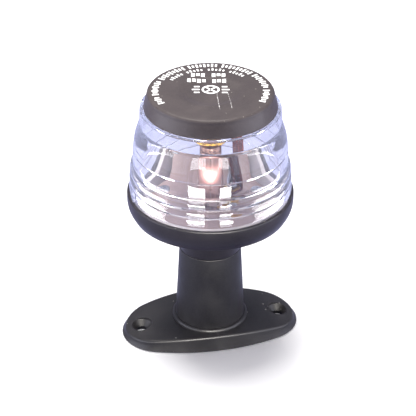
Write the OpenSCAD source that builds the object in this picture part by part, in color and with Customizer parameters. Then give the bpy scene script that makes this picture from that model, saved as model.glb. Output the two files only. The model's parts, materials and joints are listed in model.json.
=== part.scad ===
// All-round navigation light on a short pedestal.
// Origin at the centre of the plate's underside, +Z up, the plate's long axis along X.
// Millimetres throughout.

/* [Plate] */
// Length of the oval plate
plate_l = 73.6; // [70:0.2:80]
// Width of the oval plate
plate_w = 39; // [38:0.2:44]
// Radius of the plate's two ends
plate_end_r = 16; // [13:0.5:17]
// Height of the plate at its centre
plate_h = 6.5; // [6:0.1:8]
// Radius of the crown that runs along the plate's top
crown_r = 170; // [150:1:400]
// Distance between the two screw holes
hole_spacing = 57.6; // [56:0.1:59]
// Radius of the two screw holes
hole_r = 2.25; // [1.75:0.05:2.5]
// Radius of the countersinks where they meet the top
sink_r = 4.3; // [3.6:0.1:4.6]

/* [Pedestal tube] */
// Height of the seam between the pedestal and the head
seam_z = 39.65; // [36:0.05:42]
// Radius of the tube at the seam
tube_top_r = 12.55; // [12.2:0.05:13]
// Radius of the tube at the plate's underside
tube_foot_r = 14.5; // [14:0.05:15]
// Radius of the bore that the cable comes up
bore_r = 9.2; // [8.5:0.1:9.4]
// Radius of the round bead at the foot of the tube
bead_r = 1.3; // [1:0.1:1.6]

/* [Head] */
// Radius of the neck
neck_r = 12.45; // [12.2:0.05:12.6]
// Outer radius of the spigot that plugs into the tube
spigot_r = 10.9; // [10.6:0.05:11]
// Length of the spigot
spigot_l = 11.8; // [11:0.1:12]
// Height of the dish's lower edge
dish_z = 56.5; // [56:0.1:57.5]
// Height of the dish's floor inside
floor_z = 59.5; // [59.3:0.1:59.7]
// Height of the dish's lip
lip_z = 66; // [65.5:0.1:66.5]
// Outer radius of the dish
dish_r = 33.3; // [33.1:0.1:33.6]

/* [Lens] */
// Radius of the lens skirt that goes down inside the lip
skirt_r = 31.75; // [31.7:0.05:31.8]
// Inner radius of the lens at its skirt
lens_in_r = 29.3; // [29.25:0.05:29.4]
// Height of the shoulder that the cap stands on
shoulder_z = 102.8; // [102.4:0.1:103.2]
// How far the bayonet turns
lock_turn = 25; // [15:1:30]
// Width of each bayonet lug, as an angle
lug_angle = 16; // [12:1:18]

/* [Cap] */
// Height of the whole light
total_h = 110; // [109.5:0.1:110.5]
// Radius of the cap's top
cap_top_r = 24.9; // [24.6:0.1:25.2]
// Radius of the cap's lower edge
cap_low_r = 26.2; // [26:0.1:26.4]
// Radius of the shallow recess in the cap's top
recess_r = 12.4; // [10:0.1:14]

/* [Bulb and contacts] */
// Length of the double-ended bulb
bulb_l = 41; // [40:0.5:41]
// Radius of the bulb's glass
glass_r = 5.25; // [5:0.05:5.3]
// Radius of the bulb's metal end caps
end_cap_r = 4.25; // [4:0.05:4.4]
// Height of the bulb's lower tip
bulb_z = 48.8; // [48.8:0.1:49]
// Direction from the axis to the contact riser
riser_angle = 28; // [20:1:32]
// Distance from the axis to the riser's outer face
riser_r = 14.4; // [14:0.1:15]
// How far the bulb tips out of its contacts
bulb_tip = 10; // [5:1:10]

/* [Hidden] */
$fn = 96;

eps = 0.01;
slip = 0.05;

// The plate's plan: two end arcs joined by two long side arcs that run tangent to them
end_x = plate_l / 2 - plate_end_r;
half_w = plate_w / 2;
side_r = (end_x ^ 2 + half_w ^ 2 - plate_end_r ^ 2) / (2 * (half_w - plate_end_r));
side_y = side_r - half_w;
tangent_x = end_x * side_r / (side_r - plate_end_r);
crown_drop = crown_r - sqrt(crown_r ^ 2 - (hole_spacing / 2) ^ 2);
sink_z = plate_h - crown_drop;

// The spigot, its socket and what it clamps
spigot_z = seam_z - spigot_l;
grommet_flange_h = 1.5;
grommet_plug_h = 6;
cable_r = 3.3;
socket_z = spigot_z - grommet_flange_h;
socket_r = spigot_r + slip;
seal_groove_z = 35.6;
seal_groove_h = 1.4;
seal_groove_r = 9.92;
neck_seal_r = 0.5;
screw_hole_z = 31.2;
set_screw_r = 1.5;
set_screw_tip_y = 10;
set_screw_head_y = 12.7;
hex_r = 0.87;
hex_depth = 1.3;

// The dish
under_z = 54.4;
neck_fillet = 2;
lip_in_r = 32.05;
ring_in_r = 26.6;
ring_out_r = 29;
ring_top_z = 65.2;
groove_in_r = 29.35;
groove_out_r = 31.65;
groove_z = 58.7;
lens_seal_r = 0.95;

// The bayonet: each lug drops down a slot, then turns along a groove
lug_count = 3;
lug_in_r = 27.9;
lug_z = 62;
lug_h = 1.6;
track_r = 27.7;
track_gap = 0.2;
track_gap_angle = 2;
first_lug = 70;

// The lens
skirt_z = groove_z + 2 * lens_seal_r + 2 * slip;
lens_wall_top_r = 25.9;
lens_wall_top_z = 100.8;
crown_in_r = 22.6;
crown_out_r = 24.4;
crown_in_z = 104;
crown_out_z = 106;
mark_angle = 186;

// The cap
cap_in_z = 107.6;
cap_in_r = crown_out_r + slip;
cap_edge = 1.3;
recess_h = 0.6;

// The lamp holder
holder_r = 25.2;
holder_top_z = 61.7;
pad_top_z = 63.2;
well_r = 8.9;
well_in_r = 6.4;
well_z = 46.2;
well_floor_z = 48;
tip_r = 6;
tip_angle = riser_angle + 180;
strip_angle = riser_angle - 90;
strip_w = 6;
low_strip_w = 4;
metal = 0.7;
pad_in_r = 8.6;
pad_out_r = 17;
terminal_r = 11.2;
low_terminal_r = 13.2;
wire_r = 1.3;
screw_angles = [13.5, 143];
screw_r = 21;
head_r = 2.8;
head_h = 1.6;
thread_r = 1.45;
screw_z = 56.6;
terminal_head_r = 2.1;
clamp_w = 5.6;
clamp_h = 0.8;
terminal_z = 59.9;
slot_w = 0.7;
slot_depth = 0.7;

// The bulb
bulb_mid_z = bulb_z + bulb_l / 2;
arm_z = bulb_z + bulb_l + 0.2;
arm_h = 0.6;
disc_r = 7;
contact_hole_r = 1.6;
tip_flat_r = 0.5;
tip_h = 1.8;
end_cap_h = 6.2;
end_cap_wall = 0.3;
glass_neck_r = end_cap_r - end_cap_wall - slip;
glass_wall = 0.6;
glass_hole_r = 0.7;
glass_end = 3.2;
glass_shoulder = 10.3;
filament_l = 8;
filament_r = 0.45;
lead_r = 0.25;

black = [0.16, 0.16, 0.20];
brass = [0.80, 0.62, 0.28];

// Points from a to b along a shallow curve that stands out by s in the middle.
// The curve bulges to the right of the direction of travel.
function bow(a, b, s, n = 8) =
    let (d = b - a, side = [d[1], -d[0]] / norm(d))
    [for (i = [0 : n]) a + d * i / n + side * 4 * s * (i / n) * (1 - i / n)];

// Points of a quarter round about c, from angle a0 to angle a1
function round_corner(c, r, a0, a1, n = 6) =
    [for (i = [0 : n]) c + r * [cos(a0 + (a1 - a0) * i / n), sin(a0 + (a1 - a0) * i / n)]];

// A ring sector of a given height between two angles
module sector(r_in, r_out, z0, z1, from, to) {
    translate([0, 0, z0])
        rotate([0, 0, from])
            rotate_extrude(angle = to - from)
                translate([r_in, 0])
                    square([r_out - r_in, z1 - z0]);
}

// A round solid from a list of profile points
module turned(points) {
    rotate_extrude()
        polygon(points);
}

// Places its children at a distance from the axis in a given direction
module at_polar(r, angle) {
    rotate([0, 0, angle])
        translate([r, 0, 0])
            children();
}

module plate_outline() {
    for (s = [-1, 1])
        translate([s * end_x, 0])
            circle(plate_end_r);
    intersection() {
        translate([0, -side_y])
            circle(side_r);
        translate([0, side_y])
            circle(side_r);
        square([2 * tangent_x, plate_w], center = true);
    }
}

module plate() {
    intersection() {
        linear_extrude(plate_h + 1)
            plate_outline();
        translate([0, 0, plate_h - crown_r])
            rotate([90, 0, 0])
                cylinder(r = crown_r, h = 2 * plate_w, center = true, $fn = 360);
    }
}

module countersunk_hole() {
    translate([0, 0, -1])
        cylinder(r = hole_r, h = plate_h + 2);
    translate([0, 0, sink_z - (sink_r - hole_r)])
        cylinder(r1 = hole_r, r2 = sink_r + 2, h = sink_r + 2 - hole_r);
}

// The set screw's hole runs along +Y at the back of the tube
module set_screw_hole(from_y) {
    translate([0, from_y, screw_hole_z])
        rotate([-90, 0, 0])
            cylinder(r = set_screw_r, h = 10);
}

// Plate, tube and foot bead in one moulding
module pedestal() {
    color(black)
        difference() {
            union() {
                plate();
                cylinder(r1 = tube_foot_r, r2 = tube_top_r, h = seam_z);
                rotate_extrude()
                    translate([tube_foot_r - 0.3, plate_h - 0.1])
                        circle(bead_r, $fn = 48);
            }
            translate([0, 0, -1])
                cylinder(r = bore_r, h = seam_z);
            translate([0, 0, socket_z])
                cylinder(r = socket_r, h = spigot_l + grommet_flange_h + 1);
            for (s = [-1, 1])
                translate([s * hole_spacing / 2, 0, 0])
                    countersunk_hole();
            set_screw_hole(set_screw_tip_y);
        }
}

// Dish, neck and spigot in one turned profile
module head_profile() {
    turned(concat(
        [
            [bore_r, spigot_z],
            [spigot_r - 0.6, spigot_z],
            [spigot_r, spigot_z + 0.6],
            [spigot_r, seal_groove_z - seal_groove_h / 2],
            [seal_groove_r, seal_groove_z - seal_groove_h / 2],
            [seal_groove_r, seal_groove_z + seal_groove_h / 2],
            [spigot_r, seal_groove_z + seal_groove_h / 2],
            [spigot_r, seam_z],
            [neck_r - 0.3, seam_z],
            [neck_r, seam_z + 0.3]
        ],
        round_corner([neck_r + neck_fillet, under_z - neck_fillet], neck_fillet, 180, 97),
        bow([dish_r - 2.1, dish_z], [dish_r, dish_z + 6], 0.45),
        round_corner([dish_r - 1.1, lip_z - 1.1], 1.1, 0, 90),
        [
            [lip_in_r, lip_z],
            [lip_in_r, floor_z],
            [groove_out_r, floor_z],
            [groove_out_r, groove_z],
            [groove_in_r, groove_z],
            [groove_in_r, floor_z],
            [ring_out_r, floor_z],
            [ring_out_r, ring_top_z - 0.4],
            [ring_out_r - 0.4, ring_top_z],
            [ring_in_r, ring_top_z],
            [ring_in_r, floor_z],
            [bore_r, floor_z]
        ]
    ));
}

// The slots and grooves that the lens lugs run in, cut into the standing ring.
// The lens turns clockwise, seen from above, to lock.
module bayonet_track() {
    low = lug_z - track_gap;
    high = lug_z + lug_h + track_gap;
    half = lug_angle / 2 + track_gap_angle;
    for (i = [0 : lug_count - 1]) {
        a = first_lug + i * 360 / lug_count;
        sector(track_r, ring_out_r + 1, low, ring_top_z + 1, a - half, a + half);
        sector(track_r, ring_out_r + 1, low, high, a - half - lock_turn, a);
    }
}

module head_base() {
    color(black)
        difference() {
            head_profile();
            bayonet_track();
            set_screw_hole(set_screw_tip_y);
            for (a = screw_angles)
                at_polar(screw_r, a)
                    translate([0, 0, screw_z])
                        cylinder(r = thread_r, h = 4);
        }
}

// Round sealing ring in the spigot's groove
module neck_seal() {
    color([0.12, 0.12, 0.12])
        rotate_extrude()
            translate([seal_groove_r + neck_seal_r, seal_groove_z])
                circle(neck_seal_r, $fn = 32);
}

// Socket set screw that pins the head in the tube
module neck_screw() {
    color([0.75, 0.76, 0.78])
        translate([0, set_screw_tip_y, screw_hole_z])
            rotate([-90, 0, 0])
                difference() {
                    cylinder(r = set_screw_r, h = set_screw_head_y - set_screw_tip_y);
                    translate([0, 0, set_screw_head_y - set_screw_tip_y - hex_depth])
                        cylinder(r = hex_r, h = hex_depth + 1, $fn = 6);
                }
}

// Rubber grommet that seals round the cable, clamped under the spigot
module cable_grommet() {
    color([0.10, 0.10, 0.10])
        turned([
            [cable_r, socket_z],
            [socket_r - 0.4, socket_z],
            [socket_r - 0.4, spigot_z],
            [bore_r - slip, spigot_z],
            [bore_r - 0.4, spigot_z + grommet_plug_h],
            [cable_r, spigot_z + grommet_plug_h]
        ]);
}

// Round sealing ring that the lens skirt presses on
module lens_seal() {
    color([0.12, 0.12, 0.12])
        rotate_extrude()
            translate([(groove_in_r + groove_out_r) / 2, groove_z + lens_seal_r + slip])
                circle(lens_seal_r, $fn = 32);
}

// Outer face of the lens, from the skirt up to the crown: three low rings, the flat belt,
// the tall main ring and a narrow top ring
lens_outside = concat(
    [[skirt_r, skirt_z], [skirt_r, lip_z - 0.6]],
    bow([31.9, lip_z], [32.1, 70.9], 0.35),
    [[31.8, 71.2]],
    bow([32.1, 71.5], [31.95, 74.4], 0.2, 5),
    [[31.45, 74.8]],
    bow([31.7, 75.1], [31.45, 78.7], 0.3, 6),
    [[30.75, 79.1]],
    bow([30.8, 79.4], [30.6, 85.3], 0.04, 4),
    [[30.25, 85.6]],
    bow([30.5, 85.9], [28.0, 96.4], 0.5, 10),
    [[27.6, 96.9]],
    bow([27.8, 97.4], [27.85, 101.3], 0.1, 4),
    [
        [27.0, shoulder_z],
        [crown_out_r, shoulder_z],
        [crown_out_r, crown_out_z - 0.5],
        [crown_out_r - 0.5, crown_out_z]
    ]
);

// Clear lens with a closed crown and three inward bayonet lugs
module lens() {
    color([0.85, 0.90, 0.98, 0.35])
        union() {
            turned(concat(
                lens_outside,
                [
                    [0, crown_out_z],
                    [0, crown_in_z],
                    [crown_in_r - 0.8, crown_in_z],
                    [crown_in_r, crown_in_z - 0.8],
                    [crown_in_r, lens_wall_top_z + 0.8],
                    [lens_wall_top_r, lens_wall_top_z],
                    [lens_in_r, lip_z],
                    [lens_in_r, skirt_z]
                ]
            ));
            for (i = [0 : lug_count - 1]) {
                a = first_lug + i * 360 / lug_count;
                sector(lug_in_r, lens_in_r + 1, lug_z, lug_z + lug_h,
                    a - lug_angle / 2, a + lug_angle / 2);
            }
            // Index mark beside the lip
            sector(lens_in_r + 1, lens_in_r + 3.1, lip_z + 0.4, lip_z + 3,
                mark_angle - 3, mark_angle + 3);
        }
}

// Black cap that closes the top of the lens
module cap() {
    color(black)
        turned(concat(
            [
                [0, cap_in_z],
                [cap_in_r - 0.4, cap_in_z],
                [cap_in_r, cap_in_z - 0.4],
                [cap_in_r, shoulder_z],
                [cap_low_r - 0.2, shoulder_z],
                [cap_low_r, shoulder_z + 0.2]
            ],
            round_corner([cap_top_r - cap_edge, total_h - cap_edge], cap_edge, 10, 90),
            [
                [recess_r + 0.5, total_h],
                [recess_r, total_h - recess_h],
                [0, total_h - recess_h]
            ]
        ));
}

// One clamping pad on the holder's flange
module pad(angle) {
    rotate([0, 0, angle])
        translate([pad_in_r, -strip_w / 2 - 1, holder_top_z - eps])
            cube([pad_out_r - pad_in_r, strip_w + 2, pad_top_z - holder_top_z + eps]);
}

// Brown moulded holder: a flange on the dish floor and a well down the neck
module lamp_holder() {
    color([0.45, 0.27, 0.22])
        difference() {
            union() {
                translate([0, 0, floor_z])
                    cylinder(r = holder_r, h = holder_top_z - floor_z);
                translate([0, 0, well_z])
                    cylinder(r = well_r, h = holder_top_z - well_z);
                pad(riser_angle);
                pad(strip_angle);
            }
            translate([0, 0, well_floor_z])
                cylinder(r = well_in_r, h = 20);
            // Room for the bulb to tip out
            translate([0, 0, bulb_z])
                rotate([0, 0, tip_angle])
                    rotate([0, bulb_tip, 0])
                        cylinder(r = tip_r, h = 20);
            // Channel for the strip of the lower contact
            rotate([0, 0, strip_angle])
                translate([0, -low_strip_w / 2 - 0.2, well_floor_z])
                    cube([well_in_r + metal + 0.2, low_strip_w + 0.4, 20]);
            // Ways up for the two wires
            for (a = [riser_angle + 50, strip_angle - 50])
                at_polar(well_r, a)
                    translate([0, 0, well_z - 1])
                        cylinder(r = wire_r, h = 20);
            for (a = screw_angles)
                at_polar(screw_r, a)
                    translate([0, 0, floor_z - 1])
                        cylinder(r = thread_r + 0.2, h = 5);
            at_polar(terminal_r, riser_angle)
                translate([0, 0, terminal_z])
                    cylinder(r = thread_r - 0.2, h = 5);
            at_polar(low_terminal_r, strip_angle)
                translate([0, 0, terminal_z])
                    cylinder(r = thread_r - 0.2, h = 5);
        }
}

// A pan-head screw with a straight slot, its head's underside at z = 0
module slotted_screw(shank_r, shank_l, cap_r, cap_h) {
    difference() {
        union() {
            translate([0, 0, -shank_l])
                cylinder(r = shank_r, h = shank_l + eps, $fn = 32);
            cylinder(r1 = cap_r, r2 = cap_r - 0.4, h = cap_h, $fn = 48);
        }
        translate([-cap_r - 1, -slot_w / 2, cap_h - slot_depth])
            cube([2 * cap_r + 2, slot_w, cap_h]);
    }
}

module holder_screws() {
    color([0.78, 0.78, 0.80])
        for (a = screw_angles)
            at_polar(screw_r, a)
                translate([0, 0, holder_top_z])
                    slotted_screw(thread_r, holder_top_z - screw_z - 0.2, head_r, head_h);
}

// Brass strip from the bottom of the well up to its terminal
module lower_contact() {
    strip_r = well_in_r;
    color(brass)
        rotate([0, 0, strip_angle])
            difference() {
                union() {
                    translate([0, 0, well_floor_z])
                        cylinder(r = well_in_r - 0.8, h = metal);
                    translate([0, -low_strip_w / 2, well_floor_z])
                        cube([strip_r + metal, low_strip_w, metal]);
                    translate([strip_r, -low_strip_w / 2, well_floor_z])
                        cube([metal, low_strip_w, pad_top_z + metal - well_floor_z]);
                    translate([strip_r, -low_strip_w / 2, pad_top_z])
                        cube([pad_out_r - strip_r - 0.6, low_strip_w, metal]);
                }
                translate([low_terminal_r, 0, pad_top_z - 1])
                    cylinder(r = thread_r, h = 3);
            }
}

// Brass riser: a foot under the terminal and a strip up beside the bulb
module contact_riser() {
    color(brass)
        rotate([0, 0, riser_angle])
            difference() {
                union() {
                    translate([pad_in_r, -strip_w / 2, pad_top_z])
                        cube([riser_r - pad_in_r, strip_w, metal]);
                    translate([riser_r - metal, -strip_w / 2, pad_top_z])
                        cube([metal, strip_w, arm_z - slip - pad_top_z]);
                }
                translate([terminal_r, 0, pad_top_z - 1])
                    cylinder(r = thread_r, h = 3);
            }
}

// Sprung end of the riser: an arm and the round plate that bears on the bulb
module upper_contact() {
    color(brass)
        rotate([0, 0, riser_angle])
            difference() {
                union() {
                    translate([0, -strip_w / 2, arm_z])
                        cube([riser_r, strip_w, arm_h]);
                    translate([0, 0, arm_z])
                        cylinder(r = disc_r, h = arm_h);
                    translate([0, 0, arm_z])
                        difference() {
                            cylinder(r = disc_r, h = 1.4);
                            translate([0, 0, -1])
                                cylinder(r = disc_r - 0.6, h = 4);
                            translate([0, -strip_w / 2 - 0.4, -1])
                                cube([2 * disc_r, strip_w + 0.8, 4]);
                        }
                }
                translate([0, 0, arm_z - 1])
                    cylinder(r = contact_hole_r, h = 4);
            }
}

// Square washers that clamp the wire ends
module terminal_clamps() {
    color(brass)
        for (p = [[terminal_r, riser_angle], [low_terminal_r, strip_angle]])
            at_polar(p[0], p[1])
                translate([0, 0, pad_top_z + metal])
                    difference() {
                        translate([-clamp_w / 2 + 0.6, -clamp_w / 2, 0])
                            cube([clamp_w - 1.2, clamp_w, clamp_h]);
                        translate([0, 0, -1])
                            cylinder(r = thread_r, h = 3);
                    }
}

module terminal_screws() {
    color([0.78, 0.78, 0.80])
        for (p = [[terminal_r, riser_angle], [low_terminal_r, strip_angle]])
            at_polar(p[0], p[1])
                translate([0, 0, pad_top_z + metal + clamp_h])
                    slotted_screw(thread_r - 0.25, pad_top_z + metal + clamp_h - terminal_z - 0.2,
                        terminal_head_r, head_h);
}

// Upper half of the glass, from its middle up to the pinched end; mirrored for the lower half
function glass_half(s, wall) =
    let (body = glass_r - wall, neck = glass_neck_r - wall, end = bulb_l / 2 - glass_end)
    [
        [body, s * (bulb_l / 2 - glass_shoulder - 1.5)],
        [body - 0.25, s * (bulb_l / 2 - glass_shoulder - 0.5)],
        [neck + 0.3, s * (bulb_l / 2 - glass_shoulder + 1)],
        [neck, s * (bulb_l / 2 - glass_shoulder + 2)],
        [neck, s * (end - 0.6 - wall)],
        [neck - 0.6, s * (end - wall)],
        [glass_hole_r, s * (end - wall)]
    ];

function reversed(list) = [for (i = [len(list) - 1 : -1 : 0]) list[i]];

// Tubular glass, open only where the leads pass through its ends
module bulb_glass() {
    color([0.95, 0.95, 0.95, 0.4])
        translate([0, 0, bulb_mid_z])
            turned(concat(
                reversed(glass_half(-1, 0)),
                glass_half(1, 0),
                reversed(glass_half(1, glass_wall)),
                glass_half(-1, glass_wall)
            ));
}

// Metal end cap with a conical nose that points down
module end_cap() {
    turned([
        [0, 0],
        [tip_flat_r, 0],
        [end_cap_r, tip_h],
        [end_cap_r, tip_h + end_cap_h],
        [end_cap_r - end_cap_wall, tip_h + end_cap_h],
        [end_cap_r - end_cap_wall, tip_h + 0.3],
        [tip_flat_r, 0.6],
        [0, 0.6]
    ]);
}

module bulb_lower_cap() {
    color([0.82, 0.82, 0.80])
        translate([0, 0, bulb_z])
            end_cap();
}

module bulb_upper_cap() {
    color([0.82, 0.82, 0.80])
        translate([0, 0, bulb_z + bulb_l])
            mirror([0, 0, 1])
                end_cap();
}

// Coiled filament, as the thin round bar that encloses its turns
module bulb_filament() {
    color([0.5, 0.45, 0.4])
        translate([0, 0, bulb_mid_z - filament_l / 2])
            cylinder(r = filament_r, h = filament_l, $fn = 24);
}

// The two wires that hold the filament, one from each end
module bulb_leads() {
    lead_l = (bulb_l - filament_l) / 2 - 0.6;
    color([0.7, 0.7, 0.7])
        for (z = [bulb_z + 0.6, bulb_mid_z + filament_l / 2])
            translate([0, 0, z])
                cylinder(r = lead_r, h = lead_l, $fn = 16);
}

pedestal();
head_base();
neck_seal();
neck_screw();
cable_grommet();
lens_seal();
lens();
cap();
lamp_holder();
holder_screws();
lower_contact();
contact_riser();
upper_contact();
terminal_clamps();
terminal_screws();
bulb_glass();
bulb_lower_cap();
bulb_upper_cap();
bulb_filament();
bulb_leads();
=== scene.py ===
import json
import math

import bmesh
import bpy
from mathutils import Matrix, Vector


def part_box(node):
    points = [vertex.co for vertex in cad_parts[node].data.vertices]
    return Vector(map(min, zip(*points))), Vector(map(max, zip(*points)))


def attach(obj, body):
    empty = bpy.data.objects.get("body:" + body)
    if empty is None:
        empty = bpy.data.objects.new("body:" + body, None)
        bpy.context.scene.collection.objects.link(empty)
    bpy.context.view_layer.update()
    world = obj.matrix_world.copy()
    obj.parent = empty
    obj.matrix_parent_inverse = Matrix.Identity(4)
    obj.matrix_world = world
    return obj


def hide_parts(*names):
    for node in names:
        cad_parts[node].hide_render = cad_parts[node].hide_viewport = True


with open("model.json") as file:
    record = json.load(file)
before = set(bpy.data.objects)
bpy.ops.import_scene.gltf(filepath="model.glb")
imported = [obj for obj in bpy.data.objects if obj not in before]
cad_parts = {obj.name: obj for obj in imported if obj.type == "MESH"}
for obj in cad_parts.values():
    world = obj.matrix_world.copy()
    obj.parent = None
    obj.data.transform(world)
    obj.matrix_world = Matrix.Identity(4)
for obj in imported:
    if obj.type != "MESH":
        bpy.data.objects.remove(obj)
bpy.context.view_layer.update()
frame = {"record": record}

MM = 0.001
STEPS = 192        # facets round a turned piece
FINE_STEPS = 288   # facets round the lens
TAU = 2 * math.pi


# ---------------------------------------------------------------- sizes, in millimetres
def node_box(name):
    """A CAD node's lowest and highest corners, in millimetres."""
    lo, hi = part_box(name)
    return lo / MM, hi / MM


plate_hi = node_box("pedestal")[1]
head_lo, head_hi = node_box("head_base")
lens_lo, lens_hi = node_box("lens")
cap_lo, cap_hi = node_box("cap")
holder_lo, holder_hi = node_box("lamp_holder")
riser_hi = node_box("contact_riser")[1]
lower_lo, lower_hi = node_box("bulb_lower_cap")
upper_hi = node_box("bulb_upper_cap")[1]
glass_hi = node_box("bulb_glass")[1]
coil_lo, coil_hi = node_box("bulb_filament")
arm_z = node_box("upper_contact")[0].z
seal_lo, seal_hi = node_box("lens_seal")
ring_lo, ring_hi = node_box("neck_seal")
plug_lo, plug_hi = node_box("cable_grommet")
screw_lo, screw_hi = node_box("neck_screw")

mounts = {m["name"]: m for m in frame["record"]["mounts"]}
hole_x = mounts["screw_holes"]["dims"]["spacing_x_mm"] / 2
hole_r = mounts["screw_holes"]["dims"]["hole_r_mm"]
bore_r = mounts["cable_passage"]["dims"]["r_mm"]
cable_r = mounts["cable_hole"]["dims"]["r_mm"]

# Plate
half_l = plate_hi.x
half_w = plate_hi.y
end_r = 16.0
plate_h = 6.5
crown_r = 170.0
sink_r = 4.3
plate_draft = 1.1
plate_rim = 1.2
end_x = half_l - end_r
side_r = (end_x ** 2 + half_w ** 2 - end_r ** 2) / (2 * (half_w - end_r))
side_y = side_r - half_w
tangent = math.atan2(side_y, end_x)

# Tube and head
seam_z = plate_hi.z
tube_top_r = 12.55
tube_foot_r = 14.5
bead_r = 1.3
socket_r = plug_hi.x + 0.4
socket_z = plug_lo.z
spigot_z = head_lo.z
spigot_r = 10.9
neck_r = 12.45
dish_r = head_hi.x
lip_z = head_hi.z
lip_in_r = 32.05
dish_z = lip_z - 9.5
under_z = lip_z - 11.6
floor_z = holder_hi.z - 3.7
groove_z = floor_z - 0.8
ring_top_z = lip_z - 0.8
set_screw_z = (screw_lo.z + screw_hi.z) / 2
set_screw_y = screw_lo.y
set_screw_r = screw_hi.x

# Lens and cap
skirt_z = lens_lo.z
shoulder_z = cap_lo.z
crown_z = lens_hi.z
top_z = cap_hi.z
cap_r = cap_hi.x
recess_out_r = 13.2       # the shallow recess blends into the flat top between these radii
recess_in_r = 8.6
ink = 0.05                 # thickness of the print on the cap
cap_top = top_z - ink
recess_h = 0.55
lug_z = 62.0
lug_h = 1.6
lug_angle = 16
lock_turn = 25
lug_middles = (70, 190, 310)
mark_angle = 186

# Inside
holder_r = holder_hi.x
flange_z = floor_z + 2.2
pad_z = holder_hi.z
well_z = holder_lo.z
well_r = 8.9
well_in_r = 6.4
well_floor_z = well_z + 1.8
riser_r = 14.4
riser_angle = 28
strip_angle = riser_angle - 90
strip_w = 6.0
strip_in_r = 8.6          # where the upright strip's foot and its pads begin
metal = 0.7
screw_angles = (13.5, 143)
screw_r = 21.0
terminal_r = 11.2
low_terminal_r = 13.2
terminals = ((terminal_r, riser_angle), (low_terminal_r, strip_angle))
bulb_z = lower_lo.z
bulb_top = upper_hi.z
bulb_mid = (bulb_z + bulb_top) / 2
hot_z = bulb_mid + 1.5       # the filament is hottest above its middle
painted_glare_z = hot_z + 3.1        # and a painted glare sits higher on the glass
glass_r = glass_hi.x
cap_end_r = lower_hi.x


# ---------------------------------------------------------------- mesh helpers
def bow(a, b, s, n=12):
    """Points from a to b along a shallow curve that stands out by s on the right of its travel."""
    d = Vector(b) - Vector(a)
    side = Vector((d.y, -d.x)).normalized()
    return [tuple(Vector(a) + d * (i / n) + side * (4 * s * (i / n) * (1 - i / n))) for i in range(n + 1)]


def arc(cx, cy, r, a0, a1, n=8):
    """Points of an arc about (cx, cy), angles in degrees."""
    angles = [math.radians(a0 + (a1 - a0) * i / n) for i in range(n + 1)]
    return [(cx + r * math.cos(a), cy + r * math.sin(a)) for a in angles]


def rounded(corners, n=4):
    """A closed outline from corners (x, y) or (x, y, radius): corners with a radius are rounded."""
    out = []
    for i, c in enumerate(corners):
        p = Vector(c[:2])
        if len(c) < 3:
            out.append(tuple(p))
            continue
        a = Vector(corners[i - 1][:2]) - p
        b = Vector(corners[(i + 1) % len(corners)][:2]) - p
        reach = c[2] / math.tan(max(a.angle(b), 0.05) / 2)
        reach = min(reach, a.length * 0.48, b.length * 0.48)
        p0, p2 = p + a.normalized() * reach, p + b.normalized() * reach
        for k in range(n + 1):
            t = k / n
            out.append(tuple(p0.lerp(p, t).lerp(p.lerp(p2, t), t)))
    return out


def new_piece(name, vertices, faces):
    """A mesh object from vertices in millimetres, with its normals turned outwards."""
    mesh = bpy.data.meshes.new(name)
    mesh.from_pydata([(x * MM, y * MM, z * MM) for x, y, z in vertices], [], faces)
    bm = bmesh.new()
    bm.from_mesh(mesh)
    bmesh.ops.recalc_face_normals(bm, faces=bm.faces)
    bm.to_mesh(mesh)
    bm.free()
    piece = bpy.data.objects.new(name, mesh)
    bpy.context.scene.collection.objects.link(piece)
    return piece


def turned(name, outline, steps=STEPS):
    """A closed outline of (radius, height) points turned about the Z axis."""
    vertices, rings = [], []
    for r, z in outline:
        if r < 1e-6:
            rings.append([len(vertices)])
            vertices.append((0, 0, z))
        else:
            rings.append([len(vertices) + k for k in range(steps)])
            angles = [TAU * k / steps for k in range(steps)]
            vertices += [(r * math.cos(a), r * math.sin(a), z) for a in angles]
    faces = []
    for i, a in enumerate(rings):
        b = rings[(i + 1) % len(rings)]
        if len(a) == 1 and len(b) == 1:
            continue
        for k in range(steps):
            m = (k + 1) % steps
            if len(a) == 1:
                faces.append((a[0], b[m], b[k]))
            elif len(b) == 1:
                faces.append((a[k], a[m], b[0]))
            else:
                faces.append((a[k], a[m], b[m], b[k]))
    return new_piece(name, vertices, faces)


def prism(name, near, far):
    """A solid between two closed outlines with matching points."""
    n = len(near)
    faces = [tuple(range(n)), tuple(range(n, 2 * n))]
    faces += [(i, (i + 1) % n, n + (i + 1) % n, n + i) for i in range(n)]
    return new_piece(name, near + far, faces)


def slab(name, outline, y0, y1):
    """A closed outline of (x, z) points drawn out along Y."""
    return prism(name, [(x, y0, z) for x, z in outline], [(x, y1, z) for x, z in outline])


def raised(name, outline, z0, z1):
    """A closed outline of (x, y) points drawn up from z0 to z1."""
    return prism(name, [(x, y, z0) for x, y in outline], [(x, y, z1) for x, y in outline])


def sector(name, r0, r1, z0, z1, from_deg, to_deg, n=16):
    """A ring sector between two angles."""
    return raised(name, arc(0, 0, r0, from_deg, to_deg, n) + arc(0, 0, r1, to_deg, from_deg, n), z0, z1)


def wire(name, path, r, sides=12):
    """A round wire along a path of points, closed at both ends."""
    path = [Vector(p) for p in path]
    vertices, faces = [], []
    side = None
    for i, p in enumerate(path):
        d = (path[min(i + 1, len(path) - 1)] - path[max(i - 1, 0)]).normalized()
        side = d.orthogonal() if side is None else side - d * side.dot(d)
        side.normalize()
        other = d.cross(side)
        for k in range(sides):
            a = TAU * k / sides
            vertices.append(tuple(p + side * (r * math.cos(a)) + other * (r * math.sin(a))))
    for i in range(len(path) - 1):
        for k in range(sides):
            m = (k + 1) % sides
            faces.append((i * sides + k, i * sides + m, (i + 1) * sides + m, (i + 1) * sides + k))
    faces.append(tuple(range(sides)))
    faces.append(tuple(range(len(vertices) - sides, len(vertices))))
    return new_piece(name, vertices, faces)


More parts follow.
